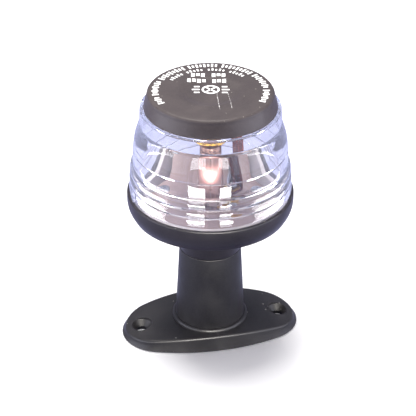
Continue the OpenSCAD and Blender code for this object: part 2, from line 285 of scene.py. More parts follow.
def bake(piece):
    """Applies a piece's modifiers to its mesh."""
    graph = bpy.context.evaluated_depsgraph_get()
    mesh = bpy.data.meshes.new_from_object(piece.evaluated_get(graph), depsgraph=graph)
    old = piece.data
    piece.modifiers.clear()
    piece.data = mesh
    bpy.data.meshes.remove(old)
    return piece


def discard(piece):
    mesh = piece.data
    bpy.data.objects.remove(piece)
    bpy.data.meshes.remove(mesh)


def combine(piece, others, how):
    """Applies a boolean operation with each of some solids, which are then discarded."""
    for other in others:
        step = piece.modifiers.new("combine", "BOOLEAN")
        step.operation = how
        step.solver = "EXACT"
        step.object = other
        bake(piece)
        discard(other)
    return piece


def cut(piece, *others):
    return combine(piece, others, "DIFFERENCE")


def fuse(piece, *others):
    return combine(piece, others, "UNION")


def join(piece, others):
    """Adds the meshes of other pieces to a piece, as separate shells."""
    bm = bmesh.new()
    bm.from_mesh(piece.data)
    for other in others:
        bm.from_mesh(other.data)
        discard(other)
    bm.to_mesh(piece.data)
    bm.free()
    return piece


def soften(piece, width, segments=2, angle=40):
    """Rounds a piece's sharp edges by a small width, in millimetres."""
    step = piece.modifiers.new("soften", "BEVEL")
    step.width = width * MM
    step.segments = segments
    step.limit_method = "ANGLE"
    step.angle_limit = math.radians(angle)
    step.use_clamp_overlap = True
    return bake(piece)


def turn_to(piece, angle, at=(0, 0, 0)):
    """Turns a piece's mesh about Z and moves it to a point in millimetres."""
    piece.data.transform(Matrix.Translation(Vector(at) * MM) @ Matrix.Rotation(math.radians(angle), 4, "Z"))
    return piece


def polar(r, angle, z=0.0):
    a = math.radians(angle)
    return (r * math.cos(a), r * math.sin(a), z)


def rod(name, r, z0, z1, steps=48):
    """A plain round cutter."""
    return turned(name, [(0, z0), (r, z0), (r, z1), (0, z1)], steps)


def drill(r, z0, z1, at=(0, 0, 0)):
    """A round cutter at a point in millimetres."""
    return turn_to(rod("hole", r, z0, z1), 0, at)


def lay_on_screw_axis(piece):
    """Lays an upright piece along +Y, where the set screw is."""
    place = Matrix.Translation((0, set_screw_y * MM, set_screw_z * MM))
    piece.data.transform(place @ Matrix.Rotation(-TAU / 4, 4, "X"))
    return piece


def finish(piece, body, node, slot, angle=32, material=None):
    """Shades a piece smooth up to an angle; its material has the slot's name, if no other is given."""
    piece.data.materials.clear()
    piece.data.materials.append(materials[material or slot])
    for polygon in piece.data.polygons:
        polygon.use_smooth = True
        polygon.material_index = 0
    piece.data.set_sharp_from_angle(angle=math.radians(angle))
    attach(piece, body)
    if node:
        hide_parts(node)
    return piece


# ---------------------------------------------------------------- material helpers
def add(tree, kind, settings=None, **values):
    """A shader node; values set or link its inputs, by name."""
    made = tree.nodes.new("ShaderNode" + kind)
    for key, value in (settings or {}).items():
        setattr(made, key, value)
    feed(made, **values)
    return made


def feed(shader, **values):
    """Sets or links a shader's inputs; in their names, an underscore stands for a space."""
    for key, value in values.items():
        wire_in(shader.inputs[key.replace("_", " ")], value)


def wire_in(socket, value):
    if isinstance(value, bpy.types.NodeSocket):
        socket.id_data.links.new(value, socket)
    else:
        socket.default_value = value


def calc(operation, a, b=0.0, clamp=False):
    """A maths node; at least one of its values is another node's output."""
    tree = (a if isinstance(a, bpy.types.NodeSocket) else b).id_data
    made = tree.nodes.new("ShaderNodeMath")
    made.operation = operation
    made.use_clamp = clamp
    wire_in(made.inputs[0], a)
    wire_in(made.inputs[1], b)
    return made.outputs[0]


def times(first, *others):
    """The product of two or more values."""
    for other in others:
        first = calc("MULTIPLY", first, other)
    return first


def blend_colours(factor, a, b):
    made = factor.id_data.nodes.new("ShaderNodeMix")
    made.data_type = "RGBA"
    wire_in(made.inputs[0], factor)
    wire_in(made.inputs[6], a)
    wire_in(made.inputs[7], b)
    return made.outputs[2]


def spread(value, low, high, from_low=0.35, from_high=0.65):
    """Maps a noise value onto a range."""
    made = add(value.id_data, "MapRange", Value=value)
    made.inputs["From Min"].default_value = from_low
    made.inputs["From Max"].default_value = from_high
    made.inputs["To Min"].default_value = low
    made.inputs["To Max"].default_value = high
    return made.outputs[0]


def noise(where, scale, detail=3.0, rough=0.55, distortion=0.0):
    made = add(where.id_data, "TexNoise", Vector=where, Scale=scale, Detail=detail,
               Roughness=rough, Distortion=distortion)
    return made.outputs["Fac"]


materials = {}


def start_material(name):
    """A new material with its node tree, its shader and its object coordinates."""
    made = bpy.data.materials.new(name)
    materials[name] = made
    made.use_nodes = True
    tree = made.node_tree
    shader = tree.nodes["Principled BSDF"]
    where = add(tree, "TexCoord").outputs["Object"]
    return tree, shader, where


def grey(v):
    return (v, v, v, 1.0)


def colour(hex_text):
    """A linear colour from a web colour."""
    parts = [int(hex_text[i:i + 2], 16) / 255 for i in (0, 2, 4)]
    linear = [c / 12.92 if c <= 0.04045 else ((c + 0.055) / 1.055) ** 2.4 for c in parts]
    return (*linear, 1.0)


def mix_shaders(tree, share, first, second):
    mixed = add(tree, "MixShader", Fac=share)
    tree.links.new(first, mixed.inputs[1])
    tree.links.new(second, mixed.inputs[2])
    return mixed.outputs[0]


def roughen(shader, strength, distance, height):
    """Bumps a shader's surface by a height value."""
    bump = add(shader.id_data, "Bump", Strength=strength, Distance=distance, Height=height)
    feed(shader, Normal=bump.outputs[0])


def specks(where, scale, share, size):
    """A mask of small round specks: cells of a given scale, a share of which hold a speck."""
    tree = where.id_data
    cells = add(tree, "TexVoronoi", Vector=where, Scale=scale)
    near = calc("LESS_THAN", cells.outputs["Distance"], size)
    chosen = add(tree, "SeparateColor", Color=cells.outputs["Color"])
    return times(near, calc("LESS_THAN", chosen.outputs[0], share))


def upward(where, low=0.55, high=0.9):
    """A mask of the faces that look up, where dust settles."""
    tree = where.id_data
    normal = add(tree, "SeparateXYZ", Vector=add(tree, "NewGeometry").outputs["Normal"])
    return spread(normal.outputs[2], 0.0, 1.0, low, high)


def edge_wear_and_highlight(where, low=0.52, high=0.6):
    """A mask of the outer edges, for rubbed wear and a painted highlight."""
    return spread(add(where.id_data, "NewGeometry").outputs["Pointiness"], 0.0, 1.0, low, high)


def moulded_plastic(name, dark, light, rough, tint, dust=0.5, grain=0.10, edge=0.3, extra=None):
    """Satin moulded plastic: soft colour drift, spark-eroded grain, flow marks, dust, and rubbed edges
    lightened partly as a painted highlight.
    """
    tree, shader, where = start_material(name)
    dark, light = colour(dark), colour(light)
    drift = spread(noise(where, 38, 4, 0.6, 0.4), 0, 1)
    mottle = spread(noise(where, 1500, 2, 0.6), 0, 1)
    base = blend_colours(drift, dark, light)
    base = blend_colours(times(mottle, 0.45), base, light)
    # Outer edges are lightened: partly rubbed wear, partly a painted highlight along the rims.
    worn_and_highlit = times(edge_wear_and_highlight(where), edge)
    base = blend_colours(worn_and_highlit, base, (light[0] * 3.2, light[1] * 3.2, light[2] * 3.2, 1))
    specked = times(specks(where, 520, 0.10, 0.13), upward(where))
    lint = times(specks(where, 170, 0.05, 0.06), upward(where, 0.3, 0.7))
    dusty = times(calc("MAXIMUM", specked, lint), dust)
    base = blend_colours(dusty, base, colour("b9b4a8"))
    if extra:
        base = extra(where, base)
    feed(shader, Base_Color=base)
    patch = noise(where, 95, 4, 0.65, 0.6)
    rub = calc("ADD", spread(patch, rough - 0.06, rough + 0.07), times(dusty, 0.4))
    feed(shader, Roughness=rub)
    fine = noise(where, 3400, 2, 0.5)
    pits = noise(where, 1150, 2, 0.5)
    bump = add(tree, "Bump", Strength=grain, Distance=0.00012,
               Height=calc("ADD", fine, times(pits, 0.7)))
    flow = add(tree, "Bump", Strength=0.10, Distance=0.0004, Height=noise(where, 70, 2, 0.5),
               Normal=bump.outputs[0])
    feed(shader, Normal=flow.outputs[0])
    shader.inputs["Specular IOR Level"].default_value = 0.22
    shader.inputs["Sheen Weight"].default_value = tint[3]
    shader.inputs["Sheen Roughness"].default_value = 0.32
    shader.inputs["Sheen Tint"].default_value = (tint[0], tint[1], tint[2], 1)


def scratch(where, start, end, width):
    """A mask of one thin scratch between two points in millimetres, on a flat top."""
    d = Vector(end) - Vector(start)
    angle = math.atan2(d.y, d.x)
    tree = where.id_data
    placed = add(tree, "Mapping", {"vector_type": "TEXTURE"}, Vector=where)
    placed.inputs["Location"].default_value = (start[0] * MM, start[1] * MM, 0)
    placed.inputs["Rotation"].default_value = (0, 0, angle)
    part = add(tree, "SeparateXYZ", Vector=placed.outputs[0])
    wobble = times(calc("SUBTRACT", noise(where, 160, 2), 0.5), 0.0007)
    off = calc("ABSOLUTE", calc("ADD", part.outputs[1], wobble))
    thin = calc("LESS_THAN", off, width * MM)
    along = times(calc("GREATER_THAN", part.outputs[0], 0.0),
                 calc("LESS_THAN", part.outputs[0], d.length * MM))
    broken = spread(noise(where, 900, 2), 0.15, 1.0, 0.4, 0.55)
    return times(thin, along, broken)


def metal_material(name, dark, light, rough, brush=0.25, stain=None, grain_scale=(60, 60, 900)):
    """Drawn or rolled metal: brushed lines, colour drift and tarnish."""
    tree, shader, where = start_material(name)
    lines = add(tree, "Mapping", Vector=where)
    lines.inputs["Scale"].default_value = grain_scale
    brushed = noise(lines.outputs[0], 8, 4, 0.6)
    drift = spread(noise(where, 130, 4, 0.6, 0.5), 0, 1)
    base = blend_colours(drift, colour(dark), colour(light))
    if stain:
        spots = spread(noise(where, 420, 5, 0.7, 0.8), 0, 0.8, 0.5, 0.68)
        base = blend_colours(spots, base, colour(stain))
    feed(shader, Base_Color=base)
    feed(shader, Roughness=spread(brushed, rough - 0.07, rough + 0.1))
    shader.inputs["Metallic"].default_value = 1.0
    roughen(shader, brush, 0.00003, brushed)
    return shader, where


def rubber_material(name):
    _, shader, where = start_material(name)
    base = blend_colours(spread(noise(where, 300, 4), 0, 1), grey(0.010), grey(0.028))
    bloom = spread(noise(where, 90, 4, 0.7), 0, 0.3, 0.5, 0.75)
    feed(shader, Base_Color=blend_colours(bloom, base, grey(0.075)))
    feed(shader, Roughness=spread(noise(where, 500, 3), 0.5, 0.72))
    roughen(shader, 0.3, 0.00008, noise(where, 2200, 3))


def clear_material(name, tint, ior, bump_scale, bump_size, dust, veil=0.0, edge_veil=0.0):
    """Clear plastic or glass that lets lamps shine through; a veil is its haze, more at grazing angles."""
    tree, shader, where = start_material(name)
    tinted = blend_colours(spread(noise(where, 45, 3), 0, 1), tint, grey(1.0))
    feed(shader, Base_Color=tinted)
    haze = spread(noise(where, 240, 4, 0.6, 0.5), 0.0, 0.035, 0.45, 0.75)
    grit = times(specks(where, 300, 0.06, 0.09), dust)
    feed(shader, Roughness=calc("ADD", haze, grit, True))
    shader.inputs["IOR"].default_value = ior
    shader.inputs["Transmission Weight"].default_value = 1.0
    roughen(shader, 0.25, bump_size, noise(where, bump_scale, 2, 0.5))
    body = shader.outputs[0]
    if veil:
        film = add(tree, "BsdfDiffuse", Color=(0.64, 0.69, 1.0, 1))
        grazing = calc("POWER", add(tree, "LayerWeight", Blend=0.5).outputs["Facing"], 3.0)
        uneven = spread(noise(where, 90, 3, 0.6), veil * 0.8, veil * 1.2)
        share = calc("ADD", uneven, times(grazing, edge_veil))
        body = mix_shaders(tree, share, body, film.outputs[0])
    shadow = add(tree, "LightPath").outputs["Is Shadow Ray"]
    clear = add(tree, "BsdfTransparent", Color=(0.93, 0.94, 0.97, 1))
    mixed = mix_shaders(tree, shadow, body, clear.outputs[0])
    wire_in(tree.nodes["Material Output"].inputs["Surface"], mixed)
    return tree, shader, where


# ---------------------------------------------------------------- materials
view_turn = -11.7   # degrees: the main view is from this side of the light


def in_view_frame(x, y):
    """A point on the cap, from the view's own left and right to the light's axes."""
    a = math.radians(view_turn)
    return (x * math.cos(a) - y * math.sin(a), x * math.sin(a) + y * math.cos(a))


def cap_scratches(where, base):
    first = scratch(where, in_view_frame(2.4, -1.1), in_view_frame(3.5, -15.0), 0.13)
    second = scratch(where, in_view_frame(6.7, -0.3), in_view_frame(8.1, -14.2), 0.09)
    seen = times(calc("MAXIMUM", first, second), upward(where))
    return blend_colours(times(seen, 0.95), base, colour("c4c2bf"))


def painted_light_inside(where, base):
    """Painted light: the floor and ring inside the lens are painted pale, standing in for the light that
    fills the lens.
    """
    part = add(where.id_data, "SeparateXYZ", Vector=where)
    across = times(part.outputs[0], part.outputs[0])
    across = calc("ADD", across, times(part.outputs[1], part.outputs[1]))
    within = calc("LESS_THAN", across, (29.2 * MM) ** 2)
    above = calc("GREATER_THAN", part.outputs[2], (floor_z - 1) * MM)
    return blend_colours(times(within, above, 0.9), base, colour("b9b0ab"))


moulded_plastic("pedestal_plastic", "1f1d1c", "2b2928", 0.40,
                (0.4, 0.38, 1.0, 0.05))
# The head's plastic carries painted light on its floor and ring inside the lens.
moulded_plastic("head_plastic", "211e1f", "2e2a2c", 0.36,
                (0.4, 0.36, 1.0, 0.07), dust=0.3, extra=painted_light_inside)
moulded_plastic("cap_plastic", "393332", "494240", 0.46,
                (0.60, 0.50, 1.0, 0.03), dust=0.35, extra=cap_scratches)
moulded_plastic("holder_plastic", "705b55", "9a8680", 0.38,
                (1.0, 0.7, 0.6, 0.0), dust=0.2)
metal_material("contact_brass", "a87a32", "d9b05c", 0.28, stain="6b4a22")
metal_material("riser_brass", "6a2f24", "8a4a38", 0.34, stain="4a2620")
metal_material("screw_steel", "9a9a9c", "cfcfd2", 0.26, stain="77726a")
metal_material("bulb_metal", "7d5f52", "a08070", 0.32, stain="5f463c")
metal_material("lead_metal", "7d7a75", "aaa69e", 0.3)
rubber_material("seal_rubber")


def lens_material_with_painted_glow():
    """The clear lens, with a faint painted glow in its own surface that stands in for the lamp's light inside
    it.
    """
    shader = clear_material("lens_clear", (0.955, 0.965, 1.0, 1), 1.49, 60, 0.0006, 0.12, 0.012, 0.24)[1]
    # Painted glow: the lens itself emits a faint pinkish light.
    shader.inputs["Emission Color"].default_value = (1.0, 0.92, 0.92, 1)
    shader.inputs["Emission Strength"].default_value = 0.018


lens_material_with_painted_glow()


def print_material():
    """White screen print, a little thin and worn."""
    _, shader, where = start_material("cap_print_white")
    thin = spread(noise(where, 800, 4, 0.7), 0, 0.55, 0.5, 0.72)
    feed(shader, Base_Color=blend_colours(thin, colour("f4f4f2"), colour("a3a09c")))
    feed(shader, Roughness=spread(noise(where, 300, 3), 0.45, 0.65))
    roughen(shader, 0.2, 0.00005, noise(where, 2500, 2))


def glow(where, middle, reach):
    """How near a point's height is to a glow's middle, from 0 to 1."""
    height = add(where.id_data, "SeparateXYZ", Vector=where).outputs[2]
    off = calc("DIVIDE", calc("SUBTRACT", height, middle * MM), reach * MM)
    return calc("POWER", 2.718, times(off, off, -1.0))


def bulb_glass_material():
    """Clear lamp glass with a painted glare and a painted halo in its own surface, near the filament's hot
    spot.
    """
    tree, shader, where = clear_material("bulb_clear", (0.90, 0.79, 0.77, 1), 1.47, 120, 0.0003, 0.1)
    facing = calc("SUBTRACT", 1.0, add(tree, "LayerWeight", Blend=0.5).outputs["Facing"])
    # Painted glare and halo: the glass itself emits them.
    painted_glare = times(glow(where, painted_glare_z, 1.25), calc("POWER", facing, 7.0))
    painted_halo = times(glow(where, hot_z, 5.0), calc("POWER", facing, 3.0))
    strength = calc("ADD", times(painted_glare, 3.4), times(painted_halo, 0.10))
    painted_glare_colour = blend_colours(painted_glare, colour("e89a8c"), colour("fff3ea"))
    feed(shader, Emission_Color=painted_glare_colour)
    feed(shader, Emission_Strength=strength)


def filament_material():
    """Tungsten, white hot in the middle and cooler at its ends."""
    shader, where = metal_material("filament_metal", "6e665c", "8c8378", 0.35)
    heat = glow(where, hot_z, 0.6)
    feed(shader, Emission_Color=blend_colours(heat, colour("ff7a30"), colour("fff0dc")))
    feed(shader, Emission_Strength=times(heat, 5.0))


print_material()
bulb_glass_material()
filament_material()


# ---------------------------------------------------------------- pedestal
def plate_outline(inset):
    """The oval plate's outline, set in by a distance; every call gives matching points."""
    t = math.degrees(tangent)
    right = arc(end_x, 0, end_r - inset, -t, t, 40)
    top = arc(0, -side_y, side_r - inset, t, 180 - t, 72)
    left = arc(-end_x, 0, end_r - inset, 180 - t, 180 + t, 40)
    bottom = arc(0, side_y, side_r - inset, 180 + t, 360 - t, 72)
    return right[:-1] + top[:-1] + left[:-1] + bottom[:-1]


def crown(x):
    return plate_h - crown_r + math.sqrt(crown_r ** 2 - x ** 2)


def plate_piece():
    """The plate: a small foot chamfer, drafted sides, a rounded rim and a crowned top."""
    rim = plate_rim
    rings = [[(x, y, 0.0) for x, y in plate_outline(0.25)], [(x, y, 0.25) for x, y in plate_outline(0.0)]]
    for share in (0.5, 1.0):
        inset = plate_draft * share
        outline = plate_outline(inset)
        rings.append([(x, y, 0.25 + (crown(x) - rim - 0.25) * share) for x, y in outline])
    for k in range(1, 7):
        a = math.radians(90 * k / 6)
        outline = plate_outline(plate_draft + rim * (1 - math.cos(a)))
        rings.append([(x, y, crown(x) - rim * (1 - math.sin(a))) for x, y in outline])
    n = len(rings[0])
    vertices = [p for ring in rings for p in ring]
    faces = []
    for i in range(len(rings) - 1):
        for k in range(n):
            m = (k + 1) % n
            faces.append((i * n + k, i * n + m, (i + 1) * n + m, (i + 1) * n + k))
    # The end arc starts below the X axis, so point k faces point `mirror - k` across it
    last = (len(rings) - 1) * n
    mirror = 40
    faces += cross_strips(n, mirror, 0) + cross_strips(n, mirror, last)
    return new_piece("pedestal_moulding", vertices, faces)


def cross_strips(n, mirror, base):
    """Faces that run straight across the plate between facing points of its outline."""
    faces = []
    half = mirror // 2
    for step in range(n // 2):
        a, b = half + step, half + step + 1
        c, d = half - step - 1, half - step
        quad = [base + v % n for v in (a, b, c, d)]
        unique = list(dict.fromkeys(quad))
        if len(unique) > 2:
            faces.append(tuple(unique))
    return faces


def make_pedestal():
    piece = plate_piece()
    sink_z = crown(hole_x) - 0.5
    for s in (-1, 1):
        sink = turned("sink", rounded([
            (0, -1), (hole_r, -1), (hole_r, sink_z - sink_r + hole_r, 0.25),
            (sink_r, sink_z, 0.2), (sink_r + 0.05, sink_z + 3), (0, sink_z + 3),
        ]), 72)
        sink.data.transform(Matrix.Translation((s * hole_x * MM, 0, 0)))
        cut(piece, sink)
    cut(piece, rod("bore", bore_r, -1, 12, 96))

    def tube_r(z):
        return tube_foot_r + (tube_top_r - tube_foot_r) * z / seam_z

    tube = turned("tube", rounded([
        (bore_r, 0.0, 0.2), (tube_foot_r - 1, 0.0), (tube_r(plate_h - 2), plate_h - 2),
        (tube_r(14), 14), (tube_r(26), 26), (tube_r(seam_z), seam_z, 0.35),
        (socket_r, seam_z, 0.3), (socket_r, socket_z), (bore_r, socket_z, 0.2),
    ]))
    cut(tube, lay_on_screw_axis(rod("hole", set_screw_r, 0, 12)))
    bead_mid = tube_foot_r - 0.3
    bead = turned("bead", arc(bead_mid, plate_h - 0.1, bead_r, 0, 360, 28)[:-1])
    join(piece, [tube, bead])
    return finish(piece, "base", "pedestal", "pedestal_plastic")


# ---------------------------------------------------------------- head
def make_head():
    fillet = 2.0
    groove_r = 9.92
    seal_mid = (ring_lo.z + ring_hi.z) / 2
    low, high = seal_mid - 0.7, seal_mid + 0.7
    outline = [(bore_r, spigot_z), (spigot_r - 0.6, spigot_z), (spigot_r, spigot_z + 0.6)]
    outline += [(spigot_r, low), (groove_r, low), (groove_r, high), (spigot_r, high)]
    outline += [(spigot_r, seam_z), (neck_r - 0.35, seam_z)]
    outline += arc(neck_r - 0.35, seam_z + 0.35, 0.35, -90, 0, 4)[1:]
    outline += arc(neck_r + fillet, under_z - fillet, fillet, 180, 97, 12)
    side_foot = (dish_r - 1.95, dish_z + 0.5)
    outline += rounded([(17.0, under_z + 0.3), (dish_r - 2.1, dish_z, 0.25), side_foot])[1:-1]
    outline += bow(side_foot, (dish_r, dish_z + 6), 0.42)
    outline += arc(dish_r - 0.62, lip_z - 0.62, 0.62, 5, 90, 8)
    outline += rounded([(lip_in_r + 0.3, lip_z), (lip_in_r, lip_z, 0.25), (lip_in_r, floor_z),
                        (31.65, floor_z, 0.15)])[1:]
    outline += [(31.65, groove_z), (29.35, groove_z), (29.35, floor_z), (29.0, floor_z)]
    outline += [(29.0, ring_top_z - 0.4), (28.85, ring_top_z - 0.1), (28.6, ring_top_z), (27.0, ring_top_z),
                (26.7, ring_top_z - 0.1), (26.6, ring_top_z - 0.4)]
    outline += arc(26.6 - 0.5, floor_z + 0.5, 0.5, 0, -90, 4)
    outline += [(bore_r + 0.4, floor_z), (bore_r, floor_z - 0.4)]
    piece = turned("head_moulding", outline)
    cutters = []
    gap, gap_angle = 0.2, 2
    low, high = lug_z - gap, lug_z + lug_h + gap
    half = lug_angle / 2 + gap_angle
    for a in lug_middles:
        cutters.append(sector("slot", 27.7, 30, low, ring_top_z + 1, a - half, a + half))
        cutters.append(sector("track", 27.7, 30, low, high, a - half - lock_turn, a))
    for a in screw_angles:
        cutters.append(drill(1.45, flange_z - 5.1, flange_z + 1, polar(screw_r, a)))
    cutters.append(lay_on_screw_axis(rod("hole", set_screw_r, 0, 12)))
    cut(piece, *cutters)
    return finish(piece, "base", "head_base", "head_plastic")


# ---------------------------------------------------------------- lens
def make_lens():
    band_z = shoulder_z - 0.15
    # Each prism ring: its lower and upper edge, its bow, its steps and the groove above it
    rings = (
        ((31.9, lip_z), (32.1, 70.9), 0.35, 12, (31.75, 71.2)),
        ((32.1, 71.5), (31.95, 74.4), 0.2, 8, (31.4, 74.8)),
        ((31.7, 75.1), (31.45, 78.7), 0.3, 10, (30.7, 79.1)),
        ((30.8, 79.4), (30.6, 85.3), 0.04, 6, (30.2, 85.6)),
        ((30.5, 85.9), (28.0, 96.4), 0.5, 16, (27.5, 96.9)),
        ((27.9, 97.4), (27.7, band_z), 0.03, 5, (27.55, shoulder_z)),
    )
    outside = [(31.75, skirt_z), (31.75, lip_z - 0.6)]
    for low, high, out, steps, groove in rings:
        outside += bow(low, high, out, steps) + [groove]
    outside += [(24.4, shoulder_z), (24.4, crown_z - 0.5), (23.9, crown_z)]
    crown_in_z = crown_z - 2
    inside = [(0, crown_z), (0, crown_in_z), (21.8, crown_in_z), (22.4, crown_in_z - 0.25)]
    inside += [(22.6, crown_in_z - 0.8), (22.6, 101.9), (22.9, 101.75), (25.9, 101.65), (27.25, 87.4)]
    inside += [(29.3, lip_z), (29.3, skirt_z)]
    piece = turned("lens_body", outside + inside, FINE_STEPS)
    solids = []
    for a in lug_middles:
        solids.append(sector("lug", 27.9, 30.0, lug_z, lug_z + lug_h, a - lug_angle / 2, a + lug_angle / 2))
    solids.append(sector("mark", 30.3, 32.4, lip_z + 0.4, lip_z + 3, mark_angle - 3, mark_angle + 3, 6))
    fuse(piece, *solids)
    return finish(piece, "lens_unit", "lens", "lens_clear", 24)


# ---------------------------------------------------------------- cap and its print
def cap_surface(r):
    """Height of the cap's top at a distance from the axis."""
    t = min(max((recess_out_r - r) / (recess_out_r - recess_in_r), 0), 1)
    return cap_top - recess_h * t * t * (3 - 2 * t)


def make_cap():
    edge = 1.3
    top_r = 24.9
    inner_r = 24.45
    outline = [(0, top_z - 2.4), (inner_r - 0.4, top_z - 2.4), (inner_r, top_z - 2.8), (inner_r, shoulder_z)]
    outline += arc(cap_r - 0.3, shoulder_z + 0.3, 0.3, -90, 5, 5)
    outline += bow((cap_r - 0.05, shoulder_z + 0.9), (top_r - edge + 1.29, cap_top - edge - 0.1), 0.05, 6)
    outline += arc(top_r - edge, cap_top - edge, edge, 8, 90, 12)
    outline += [(20, cap_top), (recess_out_r + 1, cap_top)]
    radii = [recess_out_r + (recess_in_r - recess_out_r) * k / 10 for k in range(11)]
    outline += [(r, cap_surface(r)) for r in radii + [4, 0]]
    piece = turned("cap_shell", outline)
    return finish(piece, "lens_unit", "cap", "cap_plastic")


def make_cap_print():
    """Plain bars, ticks and a lamp sign, where such caps are printed."""
    parts = []

    def bar(x0, x1, y0, y1):
        corners = [in_view_frame(x, y) for x, y in ((x0, y0), (x1, y0), (x1, y1), (x0, y1))]
        parts.append(raised("bar", corners, 0, ink))

    def ring_bar(r0, r1, a0, a1):
        parts.append(sector("bar", r0, r1, 0, ink, a0 + view_turn, a1 + view_turn, 3))

    # Outer scale: groups of radial ticks
    width, pitch, gap = 2.3, 4.1, 3.2
    angle = 210.0
    for count in (4, 8, 9, 8, 9, 8, 7):
        for k in range(count):
            short = 0.8 if k % 2 else 0.0
            ring_bar(20.2 + short / 2, 22.9 - short / 2, angle - width, angle)
            angle -= pitch
        angle -= gap
    # Inner arc: shorter ticks
    for k in range(23):
        if k % 6 != 5:
            a = 150 - k * 4.7
            ring_bar(17.1, 18.5 + 0.5 * (k % 2), a - 2.4, a)
    # Two rows of bars
    rows = ((-7.7, 3, 11.8, 14.6), (0.4, 3, 11.8, 14.6), (-9.2, 4, 7.6, 10.2), (0.6, 3, 7.6, 10.2))
    for x0, count, low, high in rows:
        for k in range(count):
            short = 0.6 if k % 2 else 0.0
            bar(x0 + k * 1.95, x0 + k * 1.95 + 1.45, low + short, high)
    # An all-round light sign between two short stacks of lines
    sign_y, sign_r = 2.0, 3.5
    for s in (-1, 1):
        for k in range(3):
            y = sign_y + (k - 1) * 2.4
            bar(*sorted((s * 4.3, s * (7.3 - 0.8 * abs(k - 1)))), y - 0.5, y + 0.5)
    cx, cy = in_view_frame(0, sign_y)
    disc = raised("disc", arc(cx, cy, sign_r, 0, 360, 40)[:-1], 0, ink)
    hole = raised("hole", arc(cx, cy, sign_r - 0.8, 0, 360, 40)[:-1], -1, 1)
    parts.append(cut(disc, hole))
    beam_l, beam_w = sign_r - 0.4, 0.4
    for a in (45, 135):
        corners = [(-beam_l, -beam_w), (beam_l, -beam_w), (beam_l, beam_w), (-beam_l, beam_w)]
        beam = raised("beam", corners, 0, ink * 0.9)
        parts.append(turn_to(beam, a + view_turn, (cx, cy, 0)))
    piece = join(parts[0], parts[1:])
    piece.name = "cap_print"
    drape(piece)
    return finish(piece, "lens_unit", None, None, material="cap_print_white")


def drape(piece):
    """Lays the flat print on the cap's top."""
    bm = bmesh.new()
    bm.from_mesh(piece.data)
    bmesh.ops.triangulate(bm, faces=bm.faces)
    bmesh.ops.subdivide_edges(bm, edges=bm.edges, cuts=2, use_grid_fill=True)
    for v in bm.verts:
        v.co.z += cap_surface(v.co.xy.length / MM) * MM
    bm.to_mesh(piece.data)
    bm.free()


# ---------------------------------------------------------------- holder, contacts, terminals
def make_holder():
    piece = turned("holder_moulding", rounded([
        (0, well_z), (well_r, well_z, 0.6), (well_r, floor_z), (holder_r, floor_z, 0.2),
        (holder_r, flange_z, 0.4), (well_in_r + 2.2, flange_z), (well_in_r + 1.6, flange_z + 0.5, 0.3),
        (well_in_r, flange_z + 0.5, 0.3), (well_in_r, well_floor_z, 0.3), (0, well_floor_z),
    ]))
    pads = []
    for a in (riser_angle, strip_angle):
        half = strip_w / 2 + 1
        foot_z = flange_z - 0.5
        box = slab("pad", [(strip_in_r, foot_z), (17, foot_z), (17, pad_z), (strip_in_r, pad_z)], -half, half)
        pads.append(turn_to(soften(box, 0.35, 3), a))
    fuse(piece, *pads)
    cutters = [rod("well", well_in_r, well_floor_z, pad_z + 5, 96)]
    tip = rod("tip", 6.0, 0, 20, 72)
    tip.data.transform(Matrix.Translation((0, 0, bulb_z * MM))
                       @ Matrix.Rotation(math.radians(riser_angle + 180), 4, "Z")
                       @ Matrix.Rotation(math.radians(10), 4, "Y"))
    cutters.append(tip)
    channel = slab("channel", [(0, well_floor_z), (well_in_r + metal + 0.2, well_floor_z),
                               (well_in_r + metal + 0.2, pad_z + 5), (0, pad_z + 5)], -2.2, 2.2)
    cutters.append(turn_to(channel, strip_angle))
    for a in (riser_angle + 50, strip_angle - 50):
        cutters.append(drill(1.3, well_z - 1, pad_z, polar(well_r, a)))
    for a in screw_angles:
        cutters.append(drill(1.65, floor_z - 1, pad_z, polar(screw_r, a)))
    for r, a in terminals:
        cutters.append(drill(1.25, floor_z + 0.4, pad_z + 2, polar(r, a)))
    cut(piece, *cutters)
    return finish(piece, "base", "lamp_holder", "holder_plastic")


def screw_solid(head_r, head_h, shank_r, shank_l, turn):
    """A pan-head screw with a domed, slotted head and a threaded shank; its head's underside at z = 0."""
    pitch = 0.7
    outline = [(0, -shank_l), (shank_r * 0.5, -shank_l)]
    z = -shank_l + 0.3
    while z < -pitch * 0.8:
        outline += [(shank_r * 0.82, z), (shank_r, z + pitch * 0.5)]
        z += pitch
    outline += [(shank_r * 0.82, -0.05), (shank_r, 0)]
    outline += [(head_r - 0.1, 0), (head_r, 0.12), (head_r, head_h * 0.45)]
    outline += [(head_r * math.cos(a), head_h * (0.45 + 0.55 * math.sin(a)))
                for a in (math.radians(15 * k) for k in range(1, 6))]
    outline += [(0, head_h)]
    piece = turned("screw", outline, 64)
    slot = slab("slot", [(-head_r - 1, head_h - 0.75), (head_r + 1, head_h - 0.75),
                         (head_r + 1, head_h + 1), (-head_r - 1, head_h + 1)], -0.36, 0.36)
    cut(piece, slot)
    return turn_to(soften(piece, 0.05, 1, 60), turn)


def make_screws(name, node, places, z, size):
    screws = []
    for k, (r, a) in enumerate(places):
        screws.append(turn_to(screw_solid(*size, 35 + 64 * k), 0, polar(r, a, z)))
    piece = join(screws[0], screws[1:])
    piece.name = name
    return finish(piece, "base", node, "screw_steel")


def make_lower_contact():
    r = well_in_r
    outline = rounded([
        (0, well_floor_z), (r + metal, well_floor_z, 0.9), (r + metal, pad_z, 0.35),
        (16.4, pad_z), (16.4, pad_z + metal), (r, pad_z + metal, 0.9), (r, well_floor_z + metal, 0.35),
        (0, well_floor_z + metal),
    ])
    piece = slab("lower_contact_strip", outline, -2, 2)
    low, high = well_floor_z, well_floor_z + metal
    disc = turned("disc", rounded([(0, low), (5.6, low, 0.1), (5.6, high, 0.1), (0, high)]), 72)
    fuse(piece, disc)
    cut(piece, drill(1.45, pad_z - 1, pad_z + 2, (low_terminal_r, 0, 0)))
    turn_to(soften(piece, 0.08, 2), strip_angle)
    return finish(piece, "base", "lower_contact", "contact_brass")


